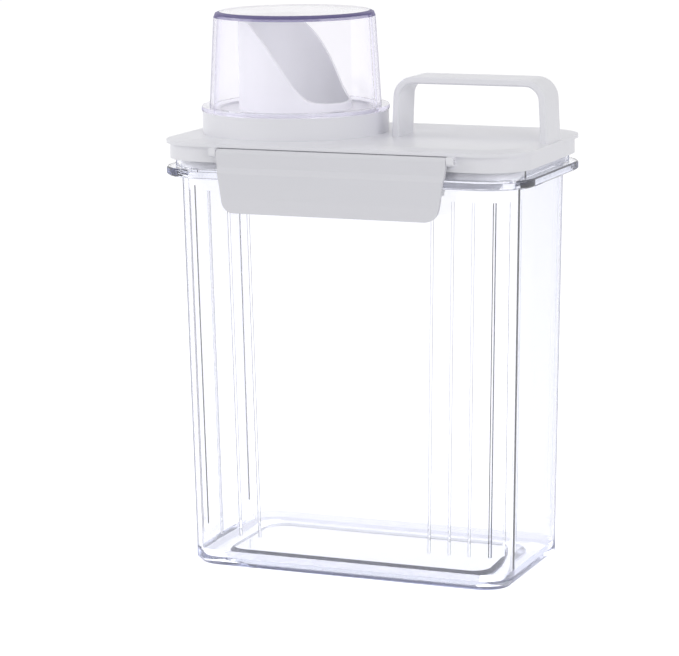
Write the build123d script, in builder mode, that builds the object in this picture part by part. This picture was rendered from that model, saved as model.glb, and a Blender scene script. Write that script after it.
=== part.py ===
"""Detergent dispenser: a clear container with a locking lid, a pour spout and a measuring cup.

Millimetres, +Z up, +X towards the handle. The origin is the centre of the foot, on the surface
that the container stands on, and the front is the side that faces -Y.
"""

import os
from math import cos, radians, sin

from build123d import *

# Container body: walls upright at the foot, then leaning out up to the flange
foot_width = 145.0
foot_depth = 78.0
foot_upright = 10.0
lean_x = 3.0
lean_y = 0.8
body_corner = 13.0
body_wall = 2.2
foot_bevel = 2.0

# Lid top, and how far below it the flange and the skirt's edge are
lid_top = 185.0
flange_drop = 16.0
skirt_drop = 9.0

# Flange and rim round the mouth
flange_thickness = 3.6
flange_overhang = 6.5
flange_bevel = 0.6
rim_step = 2.6
rim_wall = 2.2

# Floor, with a panel that stands up inside and leaves a recess under the foot
floor_thickness = 3.0
floor_bevel = 3.5
panel_margin = 12.0
panel_corner = 9.0
panel_rise = 1.8
panel_draft = 40.0

# Fine grooves down the inside of the walls, near and round the corners
groove_radius = 0.8
groove_cut = 0.45
groove_sides = 8
groove_pitch = 8.9
groove_start = 3.1
groove_foot = 14.0
groove_head = 6.0
front_grooves = 3
end_grooves = 1
corner_groove_angles = (29.0, 61.0)

# Lid plate, skirt and plug wall
plate_thickness = 2.5
plate_lip = 1.5
border_width = 6.0
skirt_inset = 1.5
skirt_wall = 1.6
seal_thickness = 2.0
seal_side_gap = 0.15
plug_gap = 0.5
plug_wall = 1.8
plug_drop = 12.5

# Measuring cup
cup_height = 41.9
cup_rim_reach = 3.5
cup_rim_thickness = 1.8
cup_foot_radius = 36.8
cup_lean = 2.2
cup_wall = 1.6
cup_shoulder = 2.4
cup_shoulder_step = 0.7

# Neck collar on the lid, over the container's left half
collar_inset = 0.3
collar_margin = 6.8
collar_height = 9.5
collar_wall = 2.6

# Pour spout, an insert in the collar
neck_clearance = 0.9
neck_ring_wall = 1.8
neck_ring_height = 6.3
insert_gap = 0.1
insert_flange_reach = 1.9
insert_flange_thickness = 1.6
trough_depth = 2.85
trough_floor = 1.6
tube_radius = 24.2
tube_wall = 1.7
tube_head_gap = 2.4
tube_below = 8.0
cut_start = -11.5
cut_middle = (5.4, -18.5)
cut_end = (17.0, -33.2)
cut_fall = 1.5
drain_width = 9.0
cup_seat_gap = 0.1

# Arch handle, moulded with the lid
handle_gap = 7.4
handle_margin = 1.0
handle_lean = 1.2
handle_rise = 25.5
handle_band = 3.0
handle_width = 18.0
handle_corner = 9.0
handle_edge = 0.6
handle_root = 1.0

# Locking flaps
flap_width = 102.0
flap_side_lean = 3.5
flap_height = 24.6
flap_wall = 1.8
flap_corner = 6.0
flap_bulge = 1.1
flap_crease_drop = 5.6
flap_crease_height = 2.6
flap_lip = 0.9
flap_lip_height = 6.0
flange_clearance = 0.6
barrel_radius = 1.8
barrel_drop = 2.1
pin_radius = 1.0
pin_length = 2.6
pin_clearance = 0.06
lug_thickness = 3.0
lug_gap = 0.25
catch_clearance = 0.3
catch_reach = 1.1
catch_height = 2.2

# Sizes that follow from those above
body_width = foot_width + 2 * lean_x
body_depth = foot_depth + 2 * lean_y
flange_z = lid_top - flange_drop
flange_width = body_width + 2 * flange_overhang
flange_depth = body_depth + 2 * flange_overhang
flange_corner = body_corner + flange_overhang
flange_top = flange_z + flange_thickness
rim_width = body_width + 2 * rim_step
rim_depth = body_depth + 2 * rim_step
rim_corner = body_corner + rim_step
plate_under = lid_top - plate_thickness
rim_top = plate_under - seal_thickness
ledge_z = flange_z + body_wall
inner_corner = body_corner - body_wall
mouth_width = rim_width - 2 * rim_wall
mouth_depth = rim_depth - 2 * rim_wall
mouth_corner = rim_corner - rim_wall
skirt_width = flange_width - 2 * skirt_inset
skirt_depth = flange_depth - 2 * skirt_inset
skirt_corner = flange_corner - skirt_inset
plug_width = mouth_width - 2 * plug_gap
plug_depth = mouth_depth - 2 * plug_gap
plug_corner = mouth_corner - plug_gap
cup_rim_radius = cup_foot_radius + cup_rim_reach
cup_top_radius = cup_foot_radius - cup_lean
collar_radius = cup_rim_radius - collar_inset
collar_top = lid_top + collar_height
shelf_z = collar_top - collar_wall
neck_x = collar_radius + collar_margin - flange_width / 2
neck_ring_radius = cup_foot_radius - cup_wall - neck_clearance
insert_flange_radius = neck_ring_radius + insert_flange_reach
ring_top = collar_top + neck_ring_height
trough_z = collar_top - trough_depth
cup_z = collar_top + cup_seat_gap
cup_top = cup_z + cup_height
tube_top = cup_top - cup_wall - tube_head_gap
tube_bottom = plate_under - tube_below
handle_left = neck_x + collar_radius + handle_gap
handle_right = flange_width / 2 - handle_margin
hinge_z = plate_under - barrel_drop
hinge_y = flange_depth / 2 + flange_clearance
flap_bottom = hinge_z - flap_height
flap_foot_width = flap_width - 2 * flap_side_lean
neck_section = Plane(origin=(neck_x, 0, 0), x_dir=(1, 0, 0), z_dir=(0, -1, 0))
neck_axis = Axis((neck_x, 0, 0), (0, 0, 1))


def neck_level(z):
    """Gives the level plane at height z whose origin is on the neck's axis."""
    return Plane(origin=(neck_x, 0, z))


def rounded_ring(width, depth, corner, wall):
    """Draws a rounded rectangle with an even wall inside it."""
    RectangleRounded(width, depth, corner)
    RectangleRounded(width - 2 * wall, depth - 2 * wall, corner - wall, mode=Mode.SUBTRACT)


def lean_share(z):
    """Gives the share of their lean that the walls have reached at height z."""
    return (z - foot_upright) / (flange_z - foot_upright)


def tapered_block(inset, low_z, high_z):
    """Draws the container's block between two heights, with its walls set in by a distance."""
    sides = []
    for plane, foot, lean in ((Plane.XZ, foot_width, lean_x), (Plane.YZ, foot_depth, lean_y)):
        low = foot / 2 - inset
        high = low + lean * lean_share(high_z)
        with BuildSketch(plane) as side:
            with BuildLine():
                right = Polyline((0, low_z), (low, low_z), (low, foot_upright), (high, high_z), (0, high_z))
                mirror(right, about=Plane.YZ)
            make_face()
        sides.append(side.sketch)
    extrude(sides[0], amount=body_depth, both=True)
    extrude(sides[1], amount=body_width, both=True, mode=Mode.INTERSECT)


def rises(edge):
    """Tells an edge that runs up the block from one that runs round it."""
    return (edge % 0.5).Z ** 2 > 0.5


def corner_centre(z):
    """Gives the centre of the corner round at height z, in the quarter where x and y are positive."""
    return (
        foot_width / 2 + lean_x * lean_share(z) - body_corner,
        foot_depth / 2 + lean_y * lean_share(z) - body_corner,
    )


def groove_axes():
    """Lists the two ends of each groove's axis in the quarter where x and y are positive."""
    reach = inner_corner + groove_cut - groove_radius
    shifts = [(-groove_start - index * groove_pitch, reach) for index in range(front_grooves)]
    shifts += [(reach, -groove_start - index * groove_pitch) for index in range(end_grooves)]
    shifts += [(reach * cos(radians(a)), reach * sin(radians(a))) for a in corner_groove_angles]
    axes = []
    for shift_x, shift_y in shifts:
        ends = []
        for z in (groove_foot, flange_z - groove_head):
            centre_x, centre_y = corner_centre(z)
            ends.append(Vector(centre_x + shift_x, centre_y + shift_y, z))
        axes.append(ends)
    return axes


# Cavity of the container, up to the ledge where the mouth steps out
with BuildPart() as cavity:
    tapered_block(body_wall, floor_thickness, ledge_z)
    fillet(cavity.edges().filter_by(rises), inner_corner)
    chamfer(cavity.edges().group_by(Axis.Z)[0], floor_bevel)

# Flange with both its edges bevelled
with BuildPart() as flange:
    with BuildSketch(Plane.XY.offset(flange_z)):
        RectangleRounded(flange_width, flange_depth, flange_corner)
    extrude(amount=flange_thickness)
    chamfer(flange.edges().group_by(Axis.Z)[0] + flange.edges().group_by(Axis.Z)[-1], flange_bevel)

with BuildPart() as container:
    tapered_block(0, 0, flange_z)
    fillet(container.edges().filter_by(rises), body_corner)
    chamfer(container.edges().group_by(Axis.Z)[0], foot_bevel)
    add(flange.part)
    with BuildSketch(Plane.XY.offset(flange_top)):
        RectangleRounded(rim_width, rim_depth, rim_corner)
    extrude(amount=rim_top - flange_top)
    add(cavity.part, mode=Mode.SUBTRACT)
    with BuildSketch(Plane.XY.offset(ledge_z)):
        RectangleRounded(mouth_width, mouth_depth, mouth_corner)
    extrude(amount=rim_top - ledge_z, mode=Mode.SUBTRACT)
    # panel above the floor, and the recess that it leaves below
    for z, mode in ((floor_thickness, Mode.ADD), (0, Mode.SUBTRACT)):
        with BuildSketch(Plane.XY.offset(z)):
            RectangleRounded(foot_width - 2 * panel_margin, foot_depth - 2 * panel_margin, panel_corner)
        extrude(amount=panel_rise, taper=panel_draft, mode=mode)
    # grooves, the same in all four quarters
    for low, high in groove_axes():
        for side_x in (-1, 1):
            for side_y in (-1, 1):
                start = Vector(side_x * low.X, side_y * low.Y, low.Z)
                end = Vector(side_x * high.X, side_y * high.Y, high.Z)
                with BuildSketch(Plane(origin=start, x_dir=(1, 0, 0), z_dir=end - start)):
                    RegularPolygon(groove_radius, groove_sides)
                extrude(amount=(end - start).length, mode=Mode.SUBTRACT)
container.part.label = "container"

# Arch of the handle, a flat band bent up from the plate
handle_shapes = []
for inset in (0.0, handle_band):
    foot_z = lid_top - handle_root - inset
    top_z = lid_top + handle_rise - inset
    with BuildSketch(Plane.XZ) as arch_shape:
        with BuildLine():
            Polyline(
                (handle_left + inset, foot_z),
                (handle_left + handle_lean + inset, top_z),
                (handle_right - handle_lean - inset, top_z),
                (handle_right - inset, foot_z),
                close=True,
            )
        make_face()
        fillet(arch_shape.vertices().group_by(Axis.Y)[-1], handle_corner - inset)
    handle_shapes.append(arch_shape.sketch)

with BuildPart() as handle:
    extrude(handle_shapes[0], amount=handle_width / 2, both=True)
    extrude(handle_shapes[1], amount=handle_width / 2, both=True, mode=Mode.SUBTRACT)
    side_edges = handle.edges().group_by(Axis.Y)[0] + handle.edges().group_by(Axis.Y)[-1]
    chamfer(side_edges.filter_by(lambda edge: edge.center().Z > lid_top), handle_edge)

with BuildPart() as lid:
    with BuildSketch(Plane.XY.offset(plate_under)):
        RectangleRounded(flange_width, flange_depth, flange_corner)
    extrude(amount=plate_thickness)
    chamfer(lid.edges().group_by(Axis.Z)[-1], plate_thickness - plate_lip, border_width)
    with BuildSketch(Plane.XY.offset(lid_top - skirt_drop)):
        rounded_ring(skirt_width, skirt_depth, skirt_corner, skirt_wall)
    extrude(amount=skirt_drop - plate_thickness)
    with BuildSketch(Plane.XY.offset(lid_top - plug_drop)):
        rounded_ring(plug_width, plug_depth, plug_corner, plug_wall)
    extrude(amount=plug_drop - plate_thickness)
    # neck collar with a flat top ring, open inside for the spout
    with BuildSketch(neck_level(lid_top)):
        Circle(collar_radius)
    extrude(amount=collar_height)
    with BuildSketch(neck_level(plate_under)):
        Circle(collar_radius - collar_wall)
    extrude(amount=shelf_z - plate_under, mode=Mode.SUBTRACT)
    with BuildSketch(neck_level(plate_under)):
        Circle(neck_ring_radius + insert_gap)
    extrude(amount=collar_top - plate_under, mode=Mode.SUBTRACT)
    add(handle.part)
    # lugs that carry the flap pins, and the holes through them
    lug_x = flap_width / 2 + lug_gap
    for side_x in (-1, 1):
        for side_y in (-1, 1):
            with BuildSketch(Plane.YZ.offset(side_x * (lug_x + lug_thickness / 2))):
                with Locations((side_y * hinge_y, hinge_z)):
                    Circle(barrel_radius)
                with Locations((side_y * hinge_y, hinge_z + barrel_drop / 2)):
                    Rectangle(2 * barrel_radius, barrel_drop)
                with Locations((side_y * (hinge_y - barrel_radius), hinge_z)):
                    Rectangle(2 * barrel_radius, 2 * barrel_radius)
            extrude(amount=lug_thickness / 2, both=True)
            with BuildSketch(Plane.YZ.offset(side_x * (lug_x + lug_thickness / 2))):
                with Locations((side_y * hinge_y, hinge_z)):
                    Circle(pin_radius + pin_clearance)
            extrude(amount=lug_thickness / 2, both=True, mode=Mode.SUBTRACT)
lid.part.label = "lid"

# Ring in the channel between skirt and plug wall, pressed by the container's rim
channel_width = skirt_width - 2 * skirt_wall - 2 * seal_side_gap
channel_depth = skirt_depth - 2 * skirt_wall - 2 * seal_side_gap
seal_wall = (channel_width - plug_width) / 2 - seal_side_gap
with BuildPart() as lid_seal:
    with BuildSketch(Plane.XY.offset(rim_top)):
        rounded_ring(channel_width, channel_depth, skirt_corner - skirt_wall - seal_side_gap, seal_wall)
    extrude(amount=seal_thickness)
lid_seal.part.label = "lid_seal"

# Spout insert: neck ring, trough and tube turned in one, then cut on the slope
with BuildPart() as pour_spout:
    with BuildSketch(neck_section):
        with BuildLine():
            Polyline(
                (tube_radius, tube_top),
                (tube_radius, trough_z),
                (neck_ring_radius - neck_ring_wall, trough_z),
                (neck_ring_radius - neck_ring_wall, ring_top),
                (neck_ring_radius, ring_top),
                (neck_ring_radius, shelf_z),
                (insert_flange_radius, shelf_z),
                (insert_flange_radius, shelf_z - insert_flange_thickness),
                (neck_ring_radius, shelf_z - insert_flange_thickness),
                (neck_ring_radius, trough_z - trough_floor),
                (tube_radius, trough_z - trough_floor),
                (tube_radius, tube_bottom),
                (tube_radius - tube_wall, tube_bottom),
                (tube_radius - tube_wall, tube_top),
                close=True,
            )
        make_face()
    revolve(axis=neck_axis)
    with BuildSketch(neck_section):
        with BuildLine():
            slope = Spline(
                (cut_start, tube_top),
                (cut_middle[0], tube_top + cut_middle[1]),
                (cut_end[0], tube_top + cut_end[1]),
                tangents=((1, -0.6), (1, -0.3)),
            )
            Polyline(
                slope @ 1,
                (tube_radius + 1, tube_top + cut_end[1] - cut_fall),
                (tube_radius + 1, tube_top + 1),
                (cut_start, tube_top + 1),
                slope @ 0,
            )
        make_face()
    extrude(amount=tube_radius + 1, both=True, mode=Mode.SUBTRACT)
    # slot through which drips in the trough run back
    with BuildSketch(neck_level(trough_z)):
        with Locations((tube_radius - tube_wall / 2, 0)):
            Rectangle(3 * tube_wall, drain_width)
    extrude(amount=ring_top - trough_z, mode=Mode.SUBTRACT)
pour_spout.part.label = "pour_spout"

# Measuring cup, upside down over the spout
with BuildPart() as measuring_cup:
    with BuildSketch(neck_section):
        with BuildLine():
            Polyline(
                (cup_foot_radius - cup_wall, cup_z),
                (cup_rim_radius, cup_z),
                (cup_rim_radius, cup_z + cup_rim_thickness),
                (cup_foot_radius, cup_z + cup_rim_thickness),
                (cup_top_radius, cup_top - cup_shoulder),
                (cup_top_radius - cup_shoulder_step, cup_top - cup_shoulder_step),
                (cup_top_radius - cup_shoulder, cup_top),
                (0, cup_top),
                (0, cup_top - cup_wall),
                (cup_top_radius - cup_wall, cup_top - cup_wall),
                close=True,
            )
        make_face()
    revolve(axis=neck_axis)
measuring_cup.part.label = "measuring_cup"

# Locking flap: hinge barrel, bulged face, catch rib under the flange and moulded pins
outer_y = -(hinge_y + barrel_radius)
bulge_y = outer_y - flap_bulge
crease_z = hinge_z - flap_crease_drop
catch_tip = catch_reach - flange_depth / 2
catch_depth = catch_reach + flap_wall + flange_clearance
with BuildPart() as front_flap:
    with BuildSketch(Plane.YZ):
        with BuildLine():
            Polyline(
                (outer_y, hinge_z),
                (outer_y, crease_z),
                (bulge_y, crease_z - flap_crease_height),
                (bulge_y, flap_bottom + flap_lip_height),
                (bulge_y - flap_lip, flap_bottom),
                (bulge_y - flap_lip + flap_wall, flap_bottom),
                (bulge_y + flap_wall, flap_bottom + flap_lip_height),
                (bulge_y + flap_wall, crease_z - flap_crease_height),
                (outer_y + flap_wall, crease_z),
                (outer_y + flap_wall, hinge_z),
                close=True,
            )
        make_face()
        with Locations((-hinge_y, hinge_z)):
            Circle(barrel_radius)
        with Locations((catch_tip - catch_depth / 2, flange_z - catch_clearance - catch_height / 2)):
            Rectangle(catch_depth, catch_height)
    extrude(amount=flap_width / 2, both=True)
    with BuildSketch(Plane.XZ) as flap_outline:
        with BuildLine():
            Polyline(
                (-flap_width / 2, hinge_z + barrel_radius),
                (flap_width / 2, hinge_z + barrel_radius),
                (flap_width / 2, hinge_z - barrel_radius),
                (flap_foot_width / 2, flap_bottom),
                (-flap_foot_width / 2, flap_bottom),
                (-flap_width / 2, hinge_z - barrel_radius),
                close=True,
            )
        make_face()
        fillet(flap_outline.vertices().group_by(Axis.Y)[0], flap_corner)
    extrude(amount=flange_depth, both=True, mode=Mode.INTERSECT)
    with BuildSketch(Plane.YZ):
        with Locations((-hinge_y, hinge_z)):
            Circle(pin_radius)
    extrude(amount=flap_width / 2 + pin_length, both=True)
front_flap.part.label = "front_flap"

with BuildPart() as back_flap:
    add(mirror(front_flap.part, about=Plane.XZ, mode=Mode.PRIVATE))
back_flap.part.label = "back_flap"

os.makedirs("parts", exist_ok=True)
for piece in (container, lid, lid_seal, pour_spout, measuring_cup, front_flap, back_flap):
    export_step(piece.part, f"parts/{piece.part.label}.step")
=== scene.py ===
"""Looks of the detergent dispenser: materials of each piece, studio light and the photograph's camera.

Metres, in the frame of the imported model: +Z up, +X towards the handle, the front faces -Y.
"""

from math import cos, pi, radians, sin

import bmesh
import bpy
from mathutils import Matrix, Vector


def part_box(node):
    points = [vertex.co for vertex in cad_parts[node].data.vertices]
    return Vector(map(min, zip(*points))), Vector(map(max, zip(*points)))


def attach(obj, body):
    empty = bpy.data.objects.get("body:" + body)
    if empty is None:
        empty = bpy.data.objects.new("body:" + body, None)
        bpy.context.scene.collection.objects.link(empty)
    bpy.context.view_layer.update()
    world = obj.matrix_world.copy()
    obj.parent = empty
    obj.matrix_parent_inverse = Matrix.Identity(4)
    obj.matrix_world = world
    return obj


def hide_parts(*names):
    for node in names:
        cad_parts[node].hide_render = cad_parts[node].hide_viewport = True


# Photograph's frame and the camera that took it
IMAGE_WIDTH = 679
FOCAL_PIXELS = 2929.0
SENSOR_MM = 36.0
CAMERA_AZIMUTH = 22.5
CAMERA_ELEVATION = 10.6
CAMERA_DISTANCE = 1.265
CAMERA_ROLL = -0.7
CAMERA_TARGET = (-0.0162, 0.0, 0.0999)

# Light: level of the plain surroundings, and three soft square lamps (name, place, point faced, power)
ROOM_LEVEL = 0.5
BACKGROUND = (1.0, 1.0, 1.0)
LAMP_SIZE = 1.0
LAMPS = (
    ("left", (-1.5, -0.7, 0.8), (0, 0, 0.12), 9.0),
    ("right", (1.5, -1.1, 0.8), (0, 0, 0.12), 9.0),
    ("top", (0.0, 0.2, 1.7), (0, 0, 0.15), 2.5),
)

# Floor
FLOOR_SIZE = 14.0
FLOOR_COLOUR = (0.92, 0.92, 0.93)
FLOOR_LIFT = 0.56

# Clear plastics, colours linear. A wall is "face" seen straight on and gets "slanted" as it turns away from
# "tint_from" on. Painted shade: a dark diffuse colour, in place of the dark lines that refraction shows, covers
# the share "outline" of its silhouette, and the share "slope" of every surface whose normal's height is between
# the two slope levels.
SLOPE_LEVELS = (0.2, 0.97)
CLEAR_IOR = 1.45
CLEAR_ROUGHNESS = 0.015
CLEAR_LOOK = {
    "face": (0.99, 0.99, 1.0),
    "slanted": (0.66, 0.69, 0.88),
    # painted shade: dark diffuse colour laid on the silhouette and slopes in place of refraction's dark lines
    "painted_shade": (0.26, 0.28, 0.42),
    "inside": (0.50, 0.56, 0.84),
    "density": 18.0,
    "haze": 0.03,
    "tint_from": 0.45,
    "outline_from": 0.66,
    "outline_to": 0.9,
    "outline": 0.75,
    "slope": 0.16,
}
CUP_LOOK = {
    "face": (0.995, 0.99, 1.0),
    "slanted": (0.70, 0.67, 0.90),
    # painted shade: dark diffuse colour laid on the cup's silhouette and slopes in place of refraction's dark
    # lines
    "painted_shade": (0.20, 0.17, 0.40),
    "inside": (0.46, 0.40, 0.82),
    "density": 22.0,
    "haze": 0.02,
    "tint_from": 0.48,
    "outline_from": 0.72,
    "outline_to": 0.95,
    "outline": 0.5,
    "slope": 0.65,
}
LID_COLOUR = (0.83, 0.83, 0.87)
# painted shade: the flap is the lid's white plastic, its colour darkened for its front face turned away from
# the side lamps
FLAP_WHITE_WITH_SHADE = (0.74, 0.74, 0.78)
# painted shade: the spout is the lid's white plastic, its colour darkened for the shade inside the container
# and cup
SPOUT_WHITE_WITH_SHADE = (0.76, 0.76, 0.79)
SEAL_COLOUR = (0.80, 0.80, 0.81)

# Opaque plastics and silicone
PLASTIC_IOR = 1.49
TINT_SPREAD = 0.015
GLOSS_SPREAD = (-0.04, 0.05)
SILICONE_IOR = 1.41
SILICONE_ROUGHNESS = 0.55

# Pour spout, on its own axis: radii, heights below the tube's top, and its mouth. A mouth point is a distance
# along the slope, the edge's height there and its steepness. The node's hidden flange and its drain slot are
# not repeated here.
SPOUT_STEPS = 160
TUBE_RADIUS = 0.0242
TUBE_WALL = 0.0017
RING_RADIUS = 0.0343
RING_WALL = 0.0018
RING_DROP = 0.0368
TROUGH_DROP = 0.0376
TROUGH_FLOOR = 0.0016
MOUTH_TURN = -6.0
MOUTH_POINTS = (
    (-0.0115, 0.0, -0.6),
    (0.0054, -0.0185, -1.58),
    (0.0170, -0.0332, -0.3),
    (0.0252, -0.0347, -0.15),
)
SHARP_ANGLE = 35
EDGE_ROUND = 0.0004
EDGE_STEPS = 2
EDGE_ANGLE = 50


def add_node(tree, kind, **values):
    """Adds a shader node and sets its properties and plain input values by name."""
    node = tree.nodes.new(kind)
    for name, value in values.items():
        key = name.replace("_", " ")
        if key in node.inputs:
            node.inputs[key].default_value = value
        else:
            setattr(node, name, value)
    return node


def new_material(name):
    """Starts a node material that holds nothing but its output."""
    material = bpy.data.materials.new(name)
    material.use_nodes = True
    tree = material.node_tree
    tree.nodes.clear()
    return material, tree, add_node(tree, "ShaderNodeOutputMaterial")


def calculate(tree, operation, *terms):
    """Adds a maths node over sockets or plain numbers, and gives its output."""
    node = add_node(tree, "ShaderNodeMath", operation=operation)
    for socket, term in zip(node.inputs, terms):
        if isinstance(term, float):
            socket.default_value = term
        else:
            tree.links.new(term, socket)
    return node.outputs["Value"]


def mix_shaders(tree, share, first, second):
    """Blends two shaders, where a share of 1 is all the second one, and gives the result."""
    node = add_node(tree, "ShaderNodeMixShader")
    tree.links.new(share, node.inputs["Fac"])
    tree.links.new(first, node.inputs[1])
    tree.links.new(second, node.inputs[2])
    return node.outputs["Shader"]


def add_noise(tree, place, scale, detail):
    """Adds noise over the object's own coordinates, and gives its value."""
    node = add_node(tree, "ShaderNodeTexNoise", Scale=scale, Detail=detail)
    tree.links.new(place.outputs["Object"], node.inputs["Vector"])
    return node.outputs["Fac"]


def add_bump(tree, height, strength, distance):
    """Adds a bump from a height, and gives its normal."""
    node = add_node(tree, "ShaderNodeBump", Strength=strength, Distance=distance)
    tree.links.new(height, node.inputs["Height"])
    return node.outputs["Normal"]


def mottle(tree, share, first, second):
    """Mixes two near colours, and gives the result."""
    node = add_node(tree, "ShaderNodeMix", data_type="RGBA")
    node.inputs["A"].default_value = (*first, 1)
    node.inputs["B"].default_value = (*second, 1)
    tree.links.new(share, node.inputs["Factor"])
    return node.outputs["Result"]


def moulded_plastic(name, colour, roughness, grain):
    """Makes an opaque moulded plastic with faint flow marks, uneven gloss and a fine skin."""
    material, tree, output = new_material(name)
    link = tree.links.new
    place = add_node(tree, "ShaderNodeTexCoord")
    darker = [c * (1 - TINT_SPREAD) for c in colour]
    lighter = [min(1, c * (1 + TINT_SPREAD)) for c in colour]
    tint = mottle(tree, add_noise(tree, place, 14.0, 3.0), darker, lighter)
    gloss = add_node(tree, "ShaderNodeMapRange")
    gloss.inputs["To Min"].default_value = roughness + GLOSS_SPREAD[0]
    gloss.inputs["To Max"].default_value = roughness + GLOSS_SPREAD[1]
    link(add_noise(tree, place, 55.0, 4.0), gloss.inputs["Value"])
    skin = add_bump(tree, add_noise(tree, place, 900.0, 2.0), grain, 0.0001)
    shader = add_node(tree, "ShaderNodeBsdfPrincipled", IOR=PLASTIC_IOR)
    link(tint, shader.inputs["Base Color"])
    link(gloss.outputs["Result"], shader.inputs["Roughness"])
    link(skin, shader.inputs["Normal"])
    link(shader.outputs["BSDF"], output.inputs["Surface"])
    return material


def painted_shade_share(tree, look, level, slant):
    """Gives the share of painted shade, a dark diffuse sheet, along the walls' silhouette and on the slopes
    between wall and floor.
    """
    outline = add_node(tree, "ShaderNodeMapRange")
    outline.inputs["From Min"].default_value = look["outline_from"]
    outline.inputs["From Max"].default_value = look["outline_to"]
    outline.inputs["To Max"].default_value = look["outline"]
    tree.links.new(slant, outline.inputs["Value"])
    steep = calculate(tree, "GREATER_THAN", level, SLOPE_LEVELS[0])
    flat = calculate(tree, "LESS_THAN", level, SLOPE_LEVELS[1])
    slope = calculate(tree, "MULTIPLY", steep, flat)
    depth = calculate(tree, "MULTIPLY", slope, look["slope"])
    return calculate(tree, "MAXIMUM", outline.outputs["Result"], depth)


def clear_plastic(name, look):
    """Makes a clear moulding that shows its tint as its walls turn away, has painted shade as a dark diffuse
    sheet along edges and slopes, and lets light through to the floor.
    """
    material, tree, output = new_material(name)
    link = tree.links.new
    place = add_node(tree, "ShaderNodeTexCoord")
    parts = add_node(tree, "ShaderNodeSeparateXYZ")
    link(place.outputs["Normal"], parts.inputs["Vector"])
    level = calculate(tree, "ABSOLUTE", parts.outputs["Z"])
    upright = calculate(tree, "SUBTRACT", 1.0, level)
    facing = add_node(tree, "ShaderNodeLayerWeight", Blend=0.5)
    slant = calculate(tree, "MULTIPLY", facing.outputs["Facing"], upright)

    ramp = add_node(tree, "ShaderNodeValToRGB")
    ramp.color_ramp.elements[0].position = look["tint_from"]
    ramp.color_ramp.elements[0].color = (*look["face"], 1)
    ramp.color_ramp.elements[1].color = (*look["slanted"], 1)
    link(slant, ramp.inputs["Fac"])
    wave = add_bump(tree, add_noise(tree, place, 28.0, 1.0), 0.05, 0.0004)
    glass = add_node(tree, "ShaderNodeBsdfPrincipled", IOR=CLEAR_IOR, Roughness=CLEAR_ROUGHNESS)
    glass.inputs["Transmission Weight"].default_value = 1 - look["haze"]
    link(ramp.outputs["Color"], glass.inputs["Base Color"])
    link(wave, glass.inputs["Normal"])

    # painted shade: a dark diffuse sheet on silhouettes and slopes stands in for the dark lines that refraction
    # shows
    painted_shade = add_node(tree, "ShaderNodeBsdfDiffuse")
    painted_shade.inputs["Color"].default_value = (*look["painted_shade"], 1)
    share = painted_shade_share(tree, look, level, slant)
    body = mix_shaders(tree, share, glass.outputs["BSDF"], painted_shade.outputs["BSDF"])

    # shadow rays pass, so that the floor and the pieces inside are lit
    path = add_node(tree, "ShaderNodeLightPath")
    passing = add_node(tree, "ShaderNodeBsdfTransparent")
    passing.inputs["Color"].default_value = (*look["face"], 1)
    surface = mix_shaders(tree, path.outputs["Is Shadow Ray"], body, passing.outputs["BSDF"])
    link(surface, output.inputs["Surface"])
    inside = add_node(tree, "ShaderNodeVolumeAbsorption", Density=look["density"])
    inside.inputs["Color"].default_value = (*look["inside"], 1)
    link(inside.outputs["Volume"], output.inputs["Volume"])
    return material


def silicone(name, colour):
    """Makes the soft, slightly translucent rubber of the seal."""
    material, tree, output = new_material(name)
    link = tree.links.new
    place = add_node(tree, "ShaderNodeTexCoord")
    darker = [c * 0.97 for c in colour]
    tint = mottle(tree, add_noise(tree, place, 80.0, 3.0), darker, colour)
    shader = add_node(tree, "ShaderNodeBsdfPrincipled", IOR=SILICONE_IOR, Roughness=SILICONE_ROUGHNESS)
    shader.inputs["Subsurface Weight"].default_value = 0.2
    shader.inputs["Subsurface Scale"].default_value = 0.002
    link(tint, shader.inputs["Base Color"])
    link(shader.outputs["BSDF"], output.inputs["Surface"])
    return material


def seen_share(tree):
    """Gives 1 for rays that show the background as it is: straight, mirrored and refracted ones."""
    path = add_node(tree, "ShaderNodeLightPath")
    straight = calculate(tree, "MAXIMUM", path.outputs["Is Camera Ray"], path.outputs["Is Glossy Ray"])
    return calculate(tree, "MAXIMUM", straight, path.outputs["Is Transmission Ray"])


def make_floor():
    """Lays the pale floor, which shows white and keeps the object's shadow."""
    bpy.ops.mesh.primitive_plane_add(size=FLOOR_SIZE)
    floor = bpy.context.object
    floor.name = "floor"
    material, tree, output = new_material("pale_floor")
    link = tree.links.new
    matt = add_node(tree, "ShaderNodeBsdfDiffuse")
    matt.inputs["Color"].default_value = (*FLOOR_COLOUR, 1)
    glow = add_node(tree, "ShaderNodeEmission", Strength=FLOOR_LIFT)
    glow.inputs["Color"].default_value = (*BACKGROUND, 1)
    dark = add_node(tree, "ShaderNodeEmission", Strength=0.0)
    lift = mix_shaders(tree, seen_share(tree), dark.outputs["Emission"], glow.outputs["Emission"])
    total = add_node(tree, "ShaderNodeAddShader")
    link(matt.outputs["BSDF"], total.inputs[0])
    link(lift, total.inputs[1])
    link(total.outputs["Shader"], output.inputs["Surface"])
    floor.data.materials.append(material)


def make_world():
    """Sets the plain surroundings, which show white and light at their own level."""
    world = bpy.data.worlds.new("surroundings")
    bpy.context.scene.world = world
    world.use_nodes = True
    tree = world.node_tree
    tree.nodes.clear()
    room = add_node(tree, "ShaderNodeBackground", Strength=ROOM_LEVEL)
    room.inputs["Color"].default_value = (*BACKGROUND, 1)
    white = add_node(tree, "ShaderNodeBackground", Strength=1.0)
    white.inputs["Color"].default_value = (*BACKGROUND, 1)
    choice = mix_shaders(tree, seen_share(tree), room.outputs["Background"], white.outputs["Background"])
    output = add_node(tree, "ShaderNodeOutputWorld")
    tree.links.new(choice, output.inputs["Surface"])


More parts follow.
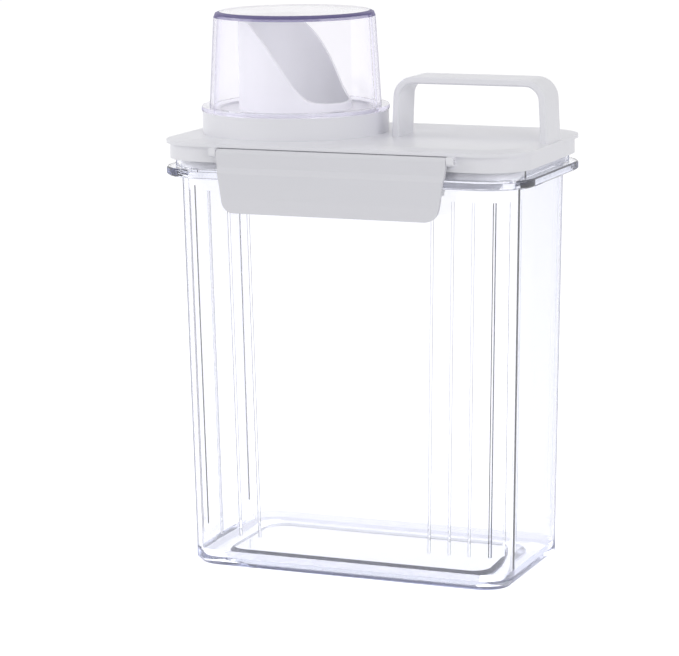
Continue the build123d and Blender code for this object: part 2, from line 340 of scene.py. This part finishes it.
def make_lamp(name, place, aim, power):
    """Adds a soft square lamp that faces a point."""
    light = bpy.data.lights.new(name, "AREA")
    light.size = LAMP_SIZE
    light.energy = power
    lamp = bpy.data.objects.new(name, light)
    bpy.context.scene.collection.objects.link(lamp)
    lamp.location = place
    lamp.rotation_euler = (Vector(aim) - Vector(place)).to_track_quat("-Z", "Y").to_euler()


def make_camera():
    """Places the camera at the photograph's viewing angle."""
    azimuth = radians(CAMERA_AZIMUTH)
    elevation = radians(CAMERA_ELEVATION)
    back = Vector((sin(azimuth) * cos(elevation), -cos(azimuth) * cos(elevation), sin(elevation)))
    right = Vector((0, 0, 1)).cross(back).normalized()
    up = back.cross(right)
    roll = Matrix.Rotation(radians(CAMERA_ROLL), 3, back)
    axes = Matrix((roll @ right, roll @ up, back)).transposed().to_4x4()
    data = bpy.data.cameras.new("camera")
    data.sensor_width = SENSOR_MM
    data.lens = SENSOR_MM * FOCAL_PIXELS / IMAGE_WIDTH
    data.clip_end = 50.0
    camera = bpy.data.objects.new("camera", data)
    bpy.context.scene.collection.objects.link(camera)
    place = Vector(CAMERA_TARGET) + back * CAMERA_DISTANCE
    camera.matrix_world = Matrix.Translation(place) @ axes
    bpy.context.scene.camera = camera


def mouth_height(x):
    """Gives the height of the tube's edge over its top, 0 or less, at a distance along the slope."""
    if x <= MOUTH_POINTS[0][0]:
        return 0.0
    for (x0, z0, slope0), (x1, z1, slope1) in zip(MOUTH_POINTS, MOUTH_POINTS[1:]):
        if x <= x1:
            run = x1 - x0
            t = (x - x0) / run
            ends = z0 * (2 * t**3 - 3 * t**2 + 1) + z1 * (3 * t**2 - 2 * t**3)
            return ends + run * (slope0 * (t**3 - 2 * t**2 + t) + slope1 * (t**3 - t**2))
    return MOUTH_POINTS[-1][1]


def make_spout(material):
    """Builds the spout in its node's place: a tube with a sloping mouth, a drip trough and a low ring."""
    low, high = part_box("pour_spout")
    centre_x = (low[0] + high[0]) / 2
    top = high[2]
    inner = TUBE_RADIUS - TUBE_WALL
    trough = top - TROUGH_DROP
    mesh = bmesh.new()
    rings = []
    for step in range(SPOUT_STEPS):
        angle = 2 * pi * step / SPOUT_STEPS
        across = cos(angle - radians(MOUTH_TURN))
        profile = (
            (TUBE_RADIUS, top + mouth_height(TUBE_RADIUS * across)),
            (TUBE_RADIUS, trough),
            (RING_RADIUS - RING_WALL, trough),
            (RING_RADIUS - RING_WALL, top - RING_DROP),
            (RING_RADIUS, top - RING_DROP),
            (RING_RADIUS, trough - TROUGH_FLOOR),
            (TUBE_RADIUS, trough - TROUGH_FLOOR),
            (TUBE_RADIUS, low[2]),
            (inner, low[2]),
            (inner, top + mouth_height(inner * across)),
        )
        rings.append([mesh.verts.new((centre_x + r * cos(angle), r * sin(angle), z)) for r, z in profile])
    for ring, following in zip(rings, rings[1:] + rings[:1]):
        for index in range(len(ring)):
            mesh.faces.new((ring[index - 1], ring[index], following[index], following[index - 1]))
    bmesh.ops.recalc_face_normals(mesh, faces=mesh.faces)
    data = bpy.data.meshes.new("spout_piece")
    mesh.to_mesh(data)
    mesh.free()
    data.polygons.foreach_set("use_smooth", [True] * len(data.polygons))
    data.set_sharp_from_angle(angle=radians(SHARP_ANGLE))
    data.materials.append(material)
    spout = bpy.data.objects.new("spout_piece", data)
    bpy.context.scene.collection.objects.link(spout)
    bevel = spout.modifiers.new("edges", "BEVEL")
    bevel.width = EDGE_ROUND
    bevel.segments = EDGE_STEPS
    bevel.angle_limit = radians(EDGE_ANGLE)
    bevel.harden_normals = True
    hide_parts("pour_spout")
    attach(spout, "body")


def finish_nodes(nodes):
    """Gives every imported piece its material, and puts the detailed spout in its node's place."""
    looks = {
        "container": clear_plastic("clear_body", CLEAR_LOOK),
        "measuring_cup": clear_plastic("tinted_cup", CUP_LOOK),
        "lid": moulded_plastic("white_lid", LID_COLOUR, 0.32, 0.05),
        "pour_spout": moulded_plastic("white_spout", SPOUT_WHITE_WITH_SHADE, 0.36, 0.05),
        "front_flap": moulded_plastic("white_flap", FLAP_WHITE_WITH_SHADE, 0.40, 0.08),
        "lid_seal": silicone("seal", SEAL_COLOUR),
    }
    looks["back_flap"] = looks["front_flap"]
    for name, material in looks.items():
        node = nodes[name]
        node.data.materials.clear()
        node.data.materials.append(material)
    make_spout(looks["pour_spout"])


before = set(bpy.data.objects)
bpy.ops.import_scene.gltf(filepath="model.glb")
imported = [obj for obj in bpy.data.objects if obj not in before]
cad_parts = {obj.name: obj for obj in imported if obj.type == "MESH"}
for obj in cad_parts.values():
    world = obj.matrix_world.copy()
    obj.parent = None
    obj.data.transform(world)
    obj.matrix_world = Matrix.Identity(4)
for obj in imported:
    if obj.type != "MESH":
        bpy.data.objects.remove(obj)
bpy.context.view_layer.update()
bpy.context.scene.view_settings.view_transform = "Standard"
finish_nodes(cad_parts)
make_floor()
make_world()
for lamp in LAMPS:
    make_lamp(*lamp)
make_camera()
